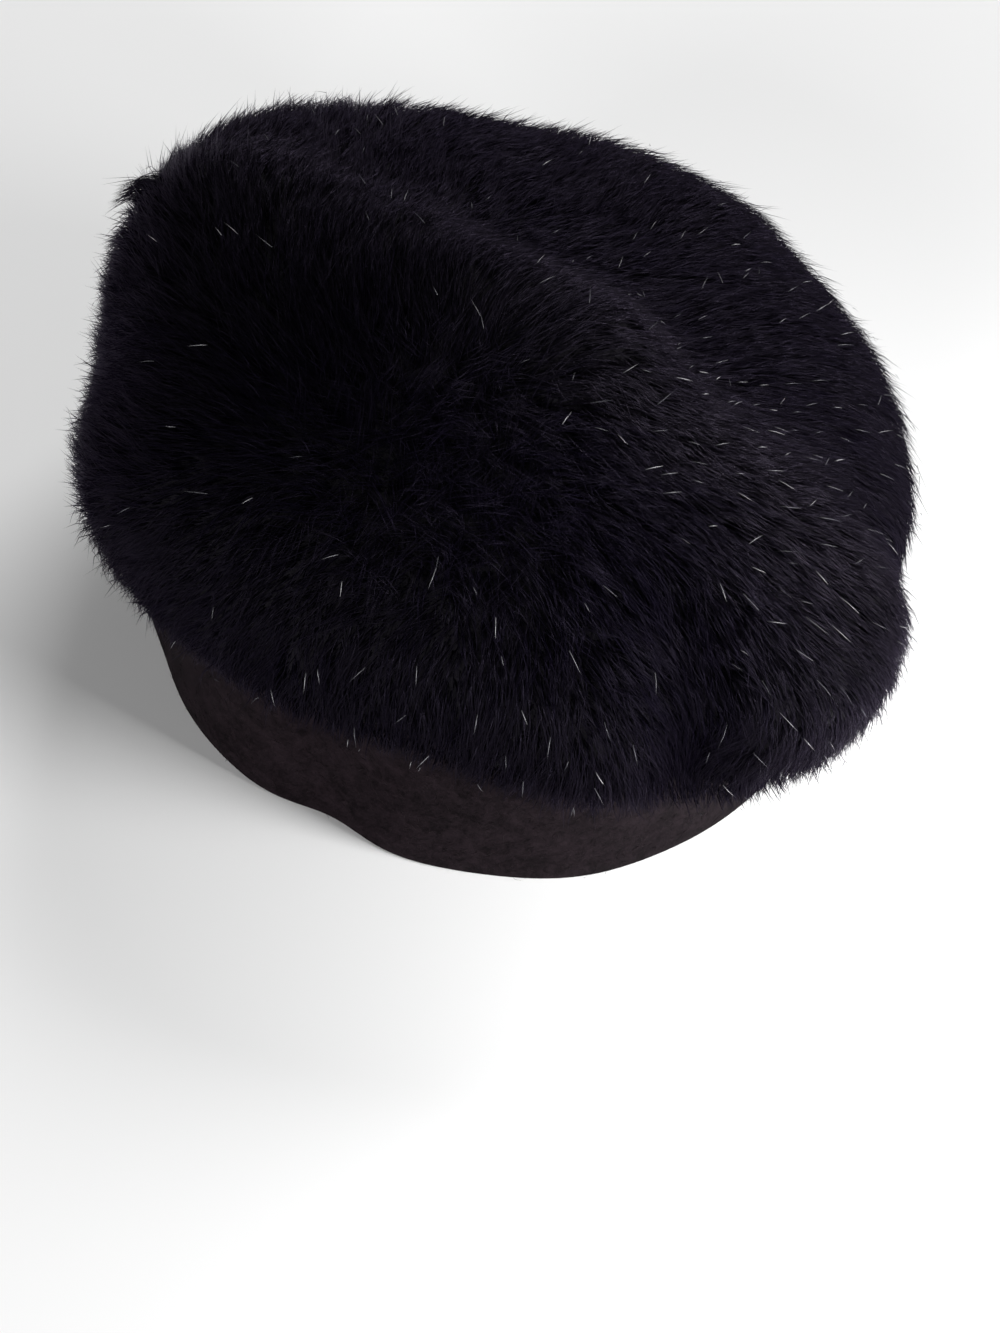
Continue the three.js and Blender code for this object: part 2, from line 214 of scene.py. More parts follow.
@dataclass
class FurForm:
    """Outer form of the fur, charted on a flat disc from the middle of the top (0) to the hem (1)."""

    waist: float = 51.0
    top: float = 97.0
    lean: float = -5.5
    tilt: float = -11.0
    squareness: float = 3.2
    top_spread: float = 0.35
    whorl_azimuth: float = -1.7
    whorl_share: float = 0.42
    sections: tuple[Section, ...] = SECTIONS
    folds: tuple[Fold, ...] = FOLDS

    @property
    def whorl(self) -> np.ndarray:
        """Chart place from which the fur lies away."""
        return self.whorl_share * np.array([math.cos(self.whorl_azimuth), math.sin(self.whorl_azimuth)])

    def column(self, name: str, azimuth: np.ndarray) -> np.ndarray:
        """One column of the sections at each azimuth, on a closed Catmull-Rom curve.

        Args:
            name: field of Section to read.
            azimuth: angles round the hat, in radians.

        Returns:
            Values in millimetres.
        """
        rows = np.array([getattr(section, name) for section in self.sections], dtype=float)
        place = azimuth / (2 * np.pi) % 1 * len(rows)
        first = np.floor(place).astype(int)
        t = place - first
        a, b, c, d = (rows[(first + step) % len(rows)] for step in (-1, 0, 1, 2))
        curve = (c - a) * t + (2 * a - 5 * b + 4 * c - d) * t**2 + (3 * b - a - 3 * c + d) * t**3
        return b + 0.5 * curve

    def hem_elevation(self, azimuth: np.ndarray) -> np.ndarray:
        """Elevation of the lower edge, seen from the waist's middle."""
        return np.arctan2(self.column("hem", azimuth) - self.waist, self.column("hem_reach", azimuth))

    def radius(self, azimuth: np.ndarray, elevation: np.ndarray, inset: float) -> np.ndarray:
        """Distance from the waist's middle: a superellipse above the waist, an ellipse below.

        Args:
            azimuth: angles round the hat, in radians.
            elevation: angles above the waist, in radians.
            inset: depth below the outer form.

        Returns:
            Distances in millimetres.
        """
        reach = self.column("reach", azimuth) - inset
        across = np.abs(np.cos(elevation))
        upward = np.abs(np.sin(elevation))
        rise = self.top - self.waist - inset + self.tilt * np.cos(azimuth) * across
        power = self.squareness
        above = ((across / reach) ** power + (upward / rise) ** power) ** (-1 / power)
        tuck = np.minimum(self.column("hem_reach", azimuth) / reach, 0.99)
        drop = (self.waist - self.column("hem", azimuth)) / np.sqrt(1 - tuck**2)
        below = ((across / reach) ** 2 + (upward / drop) ** 2) ** -0.5
        return np.where(elevation >= 0, above, below)

    def fold_rise(self, points: np.ndarray) -> np.ndarray:
        """Sum of all folds: each falls off as a bell curve with the distance from its line."""
        total = np.zeros(points.shape[:-1])
        for fold in self.folds:
            start = np.array(fold.start)
            line = np.array(fold.end) - start
            share = np.clip((points - start) @ line / (line @ line), 0, 1)
            gap = points - start - share[..., None] * line
            total += fold.rise * np.exp(-(gap**2).sum(axis=-1) / (2 * fold.half_width**2))
        return total

    def at(self, chart: np.ndarray, inset: float) -> np.ndarray:
        """Points of the form at chart places, continued straight on past the hem.

        Args:
            chart: places on the disc, with x and y along the last axis.
            inset: depth below the outer form.

        Returns:
            Points in millimetres.
        """
        share = np.linalg.norm(chart, axis=-1)
        azimuth = np.arctan2(chart[..., 1], chart[..., 0])
        inside = self.on_form(azimuth, np.minimum(share, 1.0), inset)
        step = 0.02
        slope = (inside - self.on_form(azimuth, np.minimum(share, 1.0) - step, inset)) / step
        return inside + slope * np.maximum(share - 1.0, 0.0)[..., None]

    def on_form(self, azimuth: np.ndarray, share: np.ndarray, inset: float) -> np.ndarray:
        """Points at an azimuth and a share of the way from the top's middle to the hem."""
        hem = self.hem_elevation(azimuth)
        left = 1 - share
        elevation = hem + (np.pi / 2 - hem) * (left + self.top_spread * (left**3 - left))
        across = np.cos(elevation)
        way = np.stack([np.cos(azimuth) * across, np.sin(azimuth) * across, np.sin(elevation)], axis=-1)
        points = way * self.radius(azimuth, elevation, inset)[..., None]
        points[..., 2] += self.waist
        points[..., 0] += self.lean * np.clip(points[..., 2] / self.waist, 0, 1)
        return points + way * self.fold_rise(points)[..., None]

    def normal(self, chart: np.ndarray, inset: float) -> np.ndarray:
        """Outward unit normals at chart places, from two short steps on the chart."""
        step = 0.004
        share = np.linalg.norm(chart, axis=-1, keepdims=True)
        held = chart * np.minimum(1.0, 0.985 / np.maximum(share, 1e-9))
        along_x = self.at(held + [step, 0], inset) - self.at(held - [step, 0], inset)
        along_y = self.at(held + [0, step], inset) - self.at(held - [0, step], inset)
        return unit(np.cross(along_x, along_y))


# Sizes of the felt pieces


@dataclass(frozen=True)
class Dent:
    """A dent in the felt wall, or a bulge where the depth is negative, in radians and millimetres."""

    name: str
    azimuth: float
    half_width: float
    depth: float


DENTS: tuple[Dent, ...] = (
    Dent("front left dent", azimuth=-1.86, half_width=0.1, depth=4.2),
    Dent("left dent", azimuth=-2.6, half_width=0.12, depth=1.6),
    Dent("front bulge", azimuth=-1.19, half_width=0.14, depth=-1.4),
)


@dataclass
class HatSizes:
    """Sizes of the felt pieces in millimetres, and where the middle of the band's oval lies in the frame."""

    half_width: float = 93.0
    half_depth: float = 96.0
    band_thickness: float = 2.4
    band_height: float = 50.0
    gap: float = 0.3
    crown_thickness: float = 2.0
    crown_foot: float = 1.5
    crown_spring: float = 51.0
    crown_top: float = 75.0
    crown_squareness: float = 3.0
    dents: tuple[Dent, ...] = DENTS
    middle: np.ndarray = field(default_factory=lambda: np.zeros(3))

    @classmethod
    def from_frame(cls) -> HatSizes:
        """Sizes with the oval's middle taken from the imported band."""
        low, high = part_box("band")
        return cls(middle=np.array([(low.x + high.x) / 2, (low.y + high.y) / 2, 0.0]))

    def to_frame(self, points: np.ndarray) -> np.ndarray:
        """Moves millimetres about the oval's middle into the frame's metres."""
        return points.reshape(-1, 3) * MM + self.middle

    def oval(self, azimuth: np.ndarray, radius: np.ndarray, height: np.ndarray) -> np.ndarray:
        """Points on dented ovals whose half width is the given radius, at given heights.

        Args:
            azimuth: angles round the oval, in radians.
            radius: half widths of the ovals.
            height: heights above the floor.

        Returns:
            Points in millimetres.
        """
        x = radius * np.cos(azimuth)
        y = radius * np.sin(azimuth) * self.half_depth / self.half_width
        z = height + 0 * x
        away = np.hypot(x, y)
        kept = 1 - self.dent_depth(np.arctan2(y, x), z) / np.maximum(away, 1.0)
        return np.stack([x * kept, y * kept, z], axis=-1)

    def dent_depth(self, azimuth: np.ndarray, height: np.ndarray) -> np.ndarray:
        """Sum of the dents as bell curves: full up to the spring line, fading smoothly over the dome."""
        share = np.clip((height - self.crown_spring) / (self.crown_top - self.crown_spring), 0, 1)
        fade = 1 - share**2 * (3 - 2 * share)
        bells = [
            dent.depth * np.exp(-(((azimuth - dent.azimuth) / dent.half_width) ** 2) / 2)
            for dent in self.dents
        ]
        return fade * sum(bells)

    def dome(self, radius: float, top: float, share: np.ndarray) -> tuple[np.ndarray, np.ndarray]:
        """Radius and height along a superellipse from the spring line (0) to the top (1)."""
        power = 2 / self.crown_squareness
        angle = share * np.pi / 2
        reach = radius * np.cos(angle).clip(0) ** power
        return reach, self.crown_spring + (top - self.crown_spring) * np.sin(angle) ** power


# Hairs


def hair_spikes(paths: np.ndarray, half_width: np.ndarray) -> tuple[np.ndarray, np.ndarray]:
    """Closed three-sided spikes along paths: a ring at every station but the last, which is the tip.

    Args:
        paths: hairs by stations by three, in millimetres.
        half_width: half width at the root of each hair.

    Returns:
        Points by hair, and triangles of one hair as corner indices.
    """
    count, stations, _ = paths.shape
    along = unit(np.gradient(paths, axis=1))
    side = unit(np.cross(along, np.array(HAIR_SIDE_GUIDE)))
    up = np.cross(side, along)
    taper = 1 - np.linspace(0, 1, stations)[:-1] ** HAIR_TAPER
    width = half_width[:, None] * taper[None]
    angles = np.array([0.0, 2.0, 4.0]) * np.pi / 3
    rings = [
        paths[:, :-1]
        + width[..., None] * (np.cos(angle) * side[:, :-1] + np.sin(angle) * up[:, :-1])
        for angle in angles
    ]
    body = np.stack(rings, axis=2).reshape(count, -1, 3)
    points = np.concatenate([body, paths[:, -1:]], axis=1)
    tip = 3 * (stations - 1)
    last = tip - 3
    faces = [[0, 2, 1]]
    for ring in range(0, last, 3):
        for corner in range(3):
            here, after = ring + corner, ring + (corner + 1) % 3
            faces += [[here, after, after + 3], [here, after + 3, here + 3]]
    faces += [[last + corner, last + (corner + 1) % 3, tip] for corner in range(3)]
    return points, np.array(faces)


def add_hairs(
    name: str,
    sizes: HatSizes,
    paths: np.ndarray,
    half_width: np.ndarray,
    tone: np.ndarray,
    material: bpy.types.Material,
) -> bpy.types.Object:
    """Makes one joined mesh of hairs with a tone and a place along the hair on every point.

    Args:
        name: name of the piece.
        sizes: sizes of the hat, which place it in the frame.
        paths: hairs by stations by three, in millimetres.
        half_width: half width at the root of each hair.
        tone: value between 0 and 1 for each hair.
        material: finish of the hairs.

    Returns:
        The new object.
    """
    points, pattern = hair_spikes(paths, half_width)
    count, per_hair, _ = points.shape
    faces = (pattern[None] + np.arange(count)[:, None, None] * per_hair).reshape(-1, 3)
    share = np.append(np.repeat(np.linspace(0, 1, paths.shape[1])[:-1], 3), 1.0)
    values = {"tone": np.repeat(tone, per_hair), "along": np.tile(share, count)}
    return add_piece(name, sizes.to_frame(points), [faces], material, values)


# Felt pieces


@dataclass(frozen=True)
class Ripple:
    """One wave of the band's wall: whole turns round the oval, share of the depth, and phase."""

    turns: int
    share: float
    phase: float


RIPPLES: tuple[Ripple, ...] = (
    Ripple(turns=3, share=1.0, phase=0.7),
    Ripple(turns=7, share=0.6, phase=2.1),
    Ripple(turns=13, share=0.4, phase=0.0),
)


@dataclass
class FeltBand:
    """Upright oval ring of felt that the hat stands on, with sizes in millimetres."""

    sizes: HatSizes
    columns: int = 360
    edge: float = 0.9
    edge_points: int = 5
    wall_rows: int = 12
    ripple: float = 0.35
    ripples: tuple[Ripple, ...] = RIPPLES
    nap_fibres: int = 4200
    nap_length: float = 3.0
    nap_half_width: float = 0.05
    nap_rise: float = 0.55
    nap_bend: float = 0.5
    nap_stations: int = 3

    def build(self, material: bpy.types.Material) -> bpy.types.Object:
        """Carries a rounded wall section round the oval, with a slight hand-made ripple.

        Args:
            material: felt finish.

        Returns:
            The band.
        """
        radius, height = self.section()
        azimuth = np.linspace(0, 2 * np.pi, self.columns, endpoint=False)
        radii = radius[:, None] + self.rippled(azimuth[None], height[:, None])
        points = self.sizes.oval(np.broadcast_to(azimuth, radii.shape), radii, height[:, None])
        faces = grid_faces(len(radius) + 1, self.columns) % points[..., 0].size
        band = add_piece("felt_band", self.sizes.to_frame(points), [faces[:, ::-1]], material)
        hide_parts("band")
        return band

    def rippled(self, azimuth: np.ndarray, height: np.ndarray) -> np.ndarray:
        """Ripple of the wall: three waves round the oval, strongest at half height."""
        wave = sum(one.share * np.sin(one.turns * azimuth + one.phase) for one in self.ripples)
        return self.ripple * wave * (0.4 + 0.6 * np.sin(np.pi * height / self.sizes.band_height))

    def build_nap(self, material: bpy.types.Material) -> bpy.types.Object:
        """Lays short loose fibres on the outer face: each starts in the wall and rises along a random way.

        Args:
            material: finish of the fibres.

        Returns:
            The nap.
        """
        rng = np.random.default_rng(SEED + 1)
        shape = (self.nap_fibres, 1)
        share = np.linspace(0, 1, self.nap_stations)
        way = rng.uniform(0, 2 * np.pi, shape) + rng.normal(0, self.nap_bend, shape) * share
        walked = self.nap_length * rng.uniform(0.4, 1.4, shape) * share
        azimuth = rng.uniform(0, 2 * np.pi, shape) + walked * np.cos(way) / self.sizes.half_width
        height = rng.uniform(self.edge, self.sizes.band_height, shape) + walked * np.sin(way)
        height = height.clip(self.nap_half_width * 2, self.sizes.band_height)
        rise = self.nap_rise * rng.uniform(0.3, 1.3, shape) * share - self.nap_half_width
        radius = self.sizes.half_width + self.rippled(azimuth, height) + rise
        paths = self.sizes.oval(azimuth, radius, height)
        half_width = self.nap_half_width * rng.uniform(0.6, 1.2, self.nap_fibres)
        tone = rng.random(self.nap_fibres) ** 2
        return add_hairs("felt_band_nap", self.sizes, paths, half_width, tone, material)

    def section(self) -> tuple[np.ndarray, np.ndarray]:
        """Radius and height round the wall's section, whose four corners are quarter circles."""
        outer = self.sizes.half_width
        inner = outer - self.sizes.band_thickness
        top = self.sizes.band_height
        turn = np.linspace(0, np.pi / 2, self.edge_points)
        corners = ((inner, 0, 2), (outer, 0, 3), (outer, top, 0), (inner, top, 1))
        radii, heights = [], []
        for x, z, quarter in corners:
            sign_x = 1 if x == inner else -1
            sign_z = 1 if z == 0 else -1
            radii.append(x + sign_x * self.edge + self.edge * np.cos(turn + quarter * np.pi / 2))
            heights.append(z + sign_z * self.edge + self.edge * np.sin(turn + quarter * np.pi / 2))
        wall = np.linspace(self.edge, top - self.edge, self.wall_rows)[1:-1]
        radii.insert(2, np.full(wall.size, outer))
        heights.insert(2, wall)
        return np.concatenate(radii), np.concatenate(heights)


@dataclass
class FeltCrown:
    """Hollow felt body that closes the top under the fur."""

    sizes: HatSizes
    columns: int = 180
    dome_rows: int = 18

    def build(self, material: bpy.types.Material) -> bpy.types.Object:
        """Joins an outer and an inner dome at the foot, with a pole on top of each.

        Args:
            material: felt finish.

        Returns:
            The crown.
        """
        outer = self.sizes.half_width - self.sizes.band_thickness - self.sizes.gap
        inner = outer - self.sizes.crown_thickness
        inner_top = self.sizes.crown_top - self.sizes.crown_thickness
        share = np.linspace(0, DOME_END, self.dome_rows)
        out_radius, out_height = self.sizes.dome(outer, self.sizes.crown_top, share)
        in_radius, in_height = self.sizes.dome(inner, inner_top, share)
        foot = self.sizes.crown_foot
        radius = np.concatenate([out_radius[::-1], [outer, inner], in_radius])
        height = np.concatenate([out_height[::-1], [foot, foot], in_height])
        azimuth = np.linspace(0, 2 * np.pi, self.columns, endpoint=False)
        rings = self.sizes.oval(azimuth[None], radius[:, None], height[:, None])
        poles = np.array([[0, 0, self.sizes.crown_top], [0, 0, inner_top]])
        points = np.concatenate([rings.reshape(-1, 3), poles])
        count = len(radius) * self.columns
        faces = [
            grid_faces(len(radius), self.columns)[:, ::-1],
            pole_faces(count, 0, self.columns, upward=False),
            pole_faces(count + 1, count - self.columns, self.columns, upward=True),
        ]
        crown = add_piece("felt_crown", self.sizes.to_frame(points), faces, material)
        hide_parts("crown")
        return crown


# Fur


@dataclass(frozen=True)
class HemDrop:
    """A stretch of the lower edge where the tips hang lower, or higher where the drop is negative."""

    name: str
    azimuth: float
    half_width: float
    drop: float

    def at(self, azimuth: np.ndarray) -> np.ndarray:
        """Drop in millimetres at each azimuth, as a bell curve."""
        return self.drop * np.exp(-(((azimuth - self.azimuth) / self.half_width) ** 2) / 2)


HEM_DROPS: tuple[HemDrop, ...] = (
    HemDrop("front lobe", azimuth=-1.25, half_width=0.13, drop=6.0),
    HemDrop("front lift", azimuth=-1.62, half_width=0.16, drop=-6.0),
    HemDrop("front right lift", azimuth=-0.86, half_width=0.17, drop=-7.0),
)


@dataclass(frozen=True)
class Tuft:
    """A pointed bunch of locks: its root on the chart, its turn, and its sizes in millimetres."""

    name: str
    azimuth: float
    share: float
    turn: float
    length: float
    lift: float
    strands: int
    spread: float = 0.008
    gather: float = 0.92
    unrest: float = 0.35


TUFTS: tuple[Tuft, ...] = (
    Tuft("left point", azimuth=2.90, share=0.56, turn=0.49, length=16.0, lift=7.6, strands=14),
)


class Sector(Enum):
    """Parts of the coat that are meshes of their own, in turn round the hat from the right."""

    RIGHT = "right"
    BACK_RIGHT = "back_right"
    BACK_LEFT = "back_left"
    LEFT = "left"
    FRONT = "front"


@dataclass(frozen=True)
class LockPlan:
    """Arrays with one row for each lock: its root, its way and how its hairs hold together."""

    roots: np.ndarray
    ground: np.ndarray
    turn: np.ndarray
    length: np.ndarray
    lift: np.ndarray
    gather: np.ndarray
    unrest: np.ndarray


@dataclass
class FurCoat:
    """Deep fur: a dark pelt under locks of tapered hairs that lie away from a whorl, in millimetres."""

    sizes: HatSizes
    form: FurForm
    pelt_depth: float = 5.0
    pelt_columns: int = 180
    pelt_rows: int = 40
    pelt_start: float = 0.03
    pelt_wall: tuple[float, float] = (0.02, 0.5)
    pelt_dome_rows: int = 14
    area_rows: int = 80
    area_columns: int = 240
    locks: int = 10750
    hairs_per_lock: int = 8
    lock_spread: float = 1.9
    lock_gather: float = 0.6
    lock_turn: float = 0.2
    stray_share: float = 0.08
    stray_lift: float = 1.5
    stray_gather: float = 0.1
    root_sink: float = 0.8
    hair_length: float = 15.0
    hair_half_width: float = 0.14
    hair_lift: float = 4.9
    # strength of the painted highlight on raised folds and the painted shade in sunk folds
    painted_fold_light: float = 0.16
    spiral: float = 0.85
    spiral_phase: float = 0.5
    whorl_radius: float = 0.2
    whorl_scatter: float = 2.2
    hem_drops: tuple[HemDrop, ...] = HEM_DROPS
    overhang: float = 4.0
    hem_scale: float = 110.0
    floor_gap: float = 1.0
    felt_clearance: float = 1.008
    silver_hairs: int = 420
    silver_length: float = 3.6
    silver_half_width: float = 0.1
    silver_turn: float = 0.45
    silver_rise: tuple[float, float] = (4.4, 5.8)
    silver_tilt: float = 0.8
    silver_sway: float = 0.25
    tufts: tuple[Tuft, ...] = TUFTS
    stations: int = 3
    spine_stations: int = 8
    spine_reach: float = 1.4
    rng: np.random.Generator = field(default_factory=lambda: np.random.default_rng(SEED))

    def build_pelt(self, material: bpy.types.Material) -> bpy.types.Object:
        """Closed shell between the form sunk by the pelt's depth and the room for the felt pieces.

        Args:
            material: finish of the under-fur.

        Returns:
            The pelt.
        """
        columns = self.pelt_columns
        azimuth = np.linspace(0, 2 * np.pi, columns, endpoint=False)
        shares = np.linspace(self.pelt_start, 1.0, self.pelt_rows)
        flat = np.stack([np.cos(azimuth), np.sin(azimuth)], axis=-1)
        signed = azimuth - 2 * np.pi * (azimuth > np.pi)
        lift = sum(np.maximum(-drop.at(signed), 0) for drop in self.hem_drops)
        raised = 1 - lift / self.hem_scale
        outside = self.form.at((shares[:, None] * raised)[..., None] * flat[None], self.pelt_depth)
        clear = self.sizes.half_width + 2 * self.sizes.gap
        inner_top = self.sizes.crown_top + 2 * self.sizes.gap
        hem = outside[-1, :, 2]
        wall = [
            self.sizes.oval(azimuth, np.full(columns, clear), hem + (self.sizes.crown_spring - hem) * share)
            for share in self.pelt_wall
        ]
        radius, height = self.sizes.dome(clear, inner_top, np.linspace(0, DOME_END, self.pelt_dome_rows))
        inside = self.sizes.oval(azimuth[None], radius[:, None], height[:, None])
        rings = np.concatenate([outside, np.stack(wall), inside])
        poles = np.stack([self.form.at(np.zeros((1, 2)), self.pelt_depth)[0], [0, 0, inner_top]])
        points = np.concatenate([rings.reshape(-1, 3), poles])
        count = len(rings) * columns
        faces = [
            grid_faces(len(rings), columns)[:, ::-1],
            pole_faces(count, 0, columns, upward=False),
            pole_faces(count + 1, count - columns, columns, upward=True),
        ]
        pelt = add_piece("fur_pelt", self.sizes.to_frame(points), faces, material)
        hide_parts("fur_cover")
        return pelt

    def scatter(self, count: int) -> np.ndarray:
        """Chart places spread evenly over the fur's real area, by a two-way golden step through its sums.

        Args:
            count: number of places.

        Returns:
            Places on the chart, one row each.
        """
        rows, columns = self.area_rows, self.area_columns
        share = (np.arange(rows) + 0.5) / rows
        azimuth = (np.arange(columns) + 0.5) / columns * 2 * np.pi
        flat = np.stack([np.cos(azimuth), np.sin(azimuth)], axis=-1)
        ground = self.form.at(share[:, None, None] * flat, 0.0)
        along = np.gradient(ground, axis=0)
        around = np.roll(ground, -1, axis=1) - np.roll(ground, 1, axis=1)
        area = np.linalg.norm(np.cross(along, around), axis=-1)
        inward = np.concatenate([[0], np.cumsum(area.sum(axis=1))]) / area.sum()
        step = np.arange(count)
        first = (self.rng.random() + step * GOLDEN_STEPS[0]) % 1
        second = (self.rng.random() + step * GOLDEN_STEPS[1]) % 1
        radius = np.interp(first, inward, np.arange(rows + 1) / rows)
        row = np.minimum((radius * rows).astype(int), rows - 1)
        sums = np.cumsum(area, axis=1) / area.sum(axis=1, keepdims=True)
        column = np.searchsorted((sums + np.arange(rows)[:, None]).ravel(), row + second) - row * columns
        column = column.clip(0, columns - 1)
        before = np.where(column > 0, sums[row, column - 1], 0.0)
        part = (second - before) / (sums[row, column] - before)
        angle = (column + part) / columns * 2 * np.pi
        return np.stack([radius * np.cos(angle), radius * np.sin(angle)], axis=-1)

    def lie_turn(self, roots: np.ndarray, ground: np.ndarray) -> np.ndarray:
        """Angle from the way straight off the whorl: a spiral, strongest to the back, and slow waves.

        Args:
            roots: chart places.
            ground: the same places on the pelt, in millimetres.

        Returns:
            Angles in radians, scattered widely close to the whorl.
        """
        away = roots - self.form.whorl
        spiral = 0.5 + 0.5 * np.sin(np.arctan2(away[:, 1], away[:, 0]) + self.spiral_phase)
        waves = (
            0.22 * np.sin(ground @ [0.09, 0.05, 0.04] + 0.4)
            + 0.18 * np.sin(ground @ [-0.05, 0.12, 0.07] + 2.0)
            + 0.22 * np.sin(ground @ [0.31, -0.14, 0.10] + 1.1) * np.sin(ground @ [0.12, 0.27, -0.16])
        )
        near = self.whorl_scatter * np.exp(-(away**2).sum(axis=-1) / self.whorl_radius**2)
        return waves - self.spiral * spiral + near * self.rng.standard_normal(len(roots))

    def spines(self, roots: np.ndarray, length: np.ndarray, turn: np.ndarray) -> tuple[np.ndarray, ...]:
        """Middle lines of locks: straight ways on the chart away from the whorl, turned a little.

        Args:
            roots: chart places where the locks start.
            length: length of each lock in millimetres.
            turn: angle of each lock to the lie of the fur, in radians.

        Returns:
            Points, sideways directions and normals, each as locks by stations by three.
        """
        lie = unit(roots - self.form.whorl)
        cos, sin = np.cos(turn), np.sin(turn)
        lie = np.stack([lie[:, 0] * cos - lie[:, 1] * sin, lie[:, 0] * sin + lie[:, 1] * cos], axis=-1)
        step = 0.01
        farthest = 0.97
        least_scale = 20.0
        held = roots * np.minimum(1.0, farthest / np.maximum(np.linalg.norm(roots, axis=-1), 1e-9))[:, None]
        scale = np.linalg.norm(self.form.at(held + lie * step, 0.0) - self.form.at(held, 0.0), axis=-1) / step
        scale = np.maximum(scale, least_scale)
        outward = (roots * lie).sum(axis=-1)
        to_hem = np.sqrt(np.maximum(outward**2 + 1 - (roots**2).sum(axis=-1), 0.0)) - outward
        azimuth = np.arctan2(roots[:, 1], roots[:, 0])
        overhang = self.overhang + sum(drop.at(azimuth) for drop in self.hem_drops)
        reach = np.minimum(self.spine_reach * length / scale, to_hem + overhang / scale)
        walked = np.linspace(0, 1, self.spine_stations) * reach[:, None]
        chart = roots[:, None] + walked[..., None] * lie[:, None]
        points = self.form.at(chart, self.pelt_depth)
        normals = self.form.normal(chart, self.pelt_depth)
        along = unit(np.gradient(points, axis=1))
        return points, unit(np.cross(normals, along)), normals

    def clear_of_felt(self, points: np.ndarray) -> np.ndarray:
        """Moves points that would be inside the band's wall out to just off its face."""
        share = np.hypot(points[..., 0] / self.sizes.half_width, points[..., 1] / self.sizes.half_depth)
        low = points[..., 2] < self.sizes.crown_spring
        inside = low & (share < self.felt_clearance)
        factor = np.where(inside, self.felt_clearance / np.maximum(share, 1e-6), 1.0)
        height = np.maximum(points[..., 2], self.floor_gap)
        return np.stack([points[..., 0] * factor, points[..., 1] * factor, height], axis=-1)

    def plan_locks(self) -> LockPlan:
        """Spreads the locks over the coat and bunches the first of them into the tufts.

        Returns:
            The plan of all locks.
        """
        rng = self.rng
        roots = self.scatter(self.locks)
        ground = self.form.at(roots, self.pelt_depth)
        turn = self.lie_turn(roots, ground) + self.lock_turn * rng.standard_normal(self.locks)
        length = self.hair_length * (1 + 0.2 * rng.standard_normal(self.locks)).clip(0.55, 1.5)
        lift = self.hair_lift * rng.uniform(0.72, 1.15, (self.locks, 1))
        gather = np.full((self.locks, 1), self.lock_gather)
        unrest = np.ones((self.locks, 1))
        first_row = 0
        for tuft in self.tufts:
            rows = slice(first_row, first_row + tuft.strands)
            middle = tuft.share * np.array([math.cos(tuft.azimuth), math.sin(tuft.azimuth)])
            roots[rows] = middle + tuft.spread * rng.standard_normal((tuft.strands, 2))
            turn[rows] = tuft.turn
            length[rows] = tuft.length
            lift[rows] = tuft.lift
            gather[rows] = tuft.gather
            unrest[rows] = tuft.unrest
            first_row += tuft.strands
        return LockPlan(roots, ground, turn, length, lift, gather, unrest)

    def lock_hairs(self) -> tuple[np.ndarray, np.ndarray, np.ndarray]:
        """Hairs of all locks: roots spread round each spine, tips drawn together towards its end.

        Returns:
            Paths as hairs by stations by three, a tone for each hair, and each hair's azimuth.
        """
        rng = self.rng
        plan = self.plan_locks()
        unrest = plan.unrest
        points, side, normal = self.spines(plan.roots, plan.length, plan.turn)
        shape = (self.locks, self.hairs_per_lock)
        across = self.lock_spread * (2 - unrest) * rng.standard_normal(shape)
        behind = self.lock_spread / self.hair_length * rng.standard_normal(shape)
        reach = 1 + unrest * rng.uniform(-0.38, 0.12, shape)
        lift = plan.lift * (1 + unrest * rng.uniform(-0.5, 0.12, shape))
        stray = rng.random(shape) < self.stray_share * unrest
        lift = np.where(stray, lift * self.stray_lift, lift)
        gather = np.where(stray, self.stray_gather, plan.gather)
        wave = unrest * (rng.normal(0, 0.9, shape) + rng.normal(0, 0.8, (self.locks, 1)))
        phase = rng.uniform(0, 2 * np.pi, (self.locks, 1))
        share = np.linspace(0, 1, self.stations)
        place = (behind[..., None] + reach[..., None] * share).clip(0, self.spine_reach - 1e-3)
        place = place / self.spine_reach * (self.spine_stations - 1)
        first = np.floor(place).astype(int).clip(0, self.spine_stations - 2)
        rest = (place - first)[..., None]
        lock = np.arange(self.locks)[:, None, None]

        def along_spine(array: np.ndarray) -> np.ndarray:
            """Value of a spine array at each hair's stations, between its two nearest rows."""
            return array[lock, first] * (1 - rest) + array[lock, first + 1] * rest

        sway = across[..., None] * (1 - gather[..., None] * share)
        sway = sway + wave[..., None] * np.sin(2.6 * share + phase[..., None]) * share
        rise = (lift[..., None] + self.root_sink) * share**0.75 - self.root_sink
        offset = sway[..., None] * along_spine(side) + rise[..., None] * along_spine(normal)
        paths = self.clear_of_felt((along_spine(points) + offset).reshape(-1, self.stations, 3))
        tone = self.lock_tones(plan.ground, shape)
        azimuth = np.repeat(np.arctan2(plan.ground[:, 1], plan.ground[:, 0]), self.hairs_per_lock)
        return paths, tone, azimuth

    def lock_tones(self, ground: np.ndarray, shape: tuple[int, int]) -> np.ndarray:
        """Tones that drift slowly over the coat, with a share for each lock and one for each hair; raised
        folds get a higher, lighter tone as painted highlight and sunk folds a lower, darker tone as painted
        shade.

        Args:
            ground: places of the locks on the pelt, in millimetres.
            shape: number of locks, and of hairs in each.

        Returns:
            A value between 0 and 1 for each hair.
        """
        rng = self.rng
        drift = 0.5 + 0.5 * np.sin(ground @ [0.13, 0.09, -0.11]) * np.sin(ground @ [-0.07, 0.17, 0.12] + 0.8)
        # painted highlight and shade: the fold rise lifts the tone on ridges and lowers it in hollows
        drift = 0.6 * drift + self.painted_fold_light * self.form.fold_rise(ground)
        lock_tone = 0.35 * rng.random((self.locks, 1)) + 0.3 * drift[:, None]
        return (0.35 * rng.random(shape) + lock_tone).clip(0, 1).ravel()

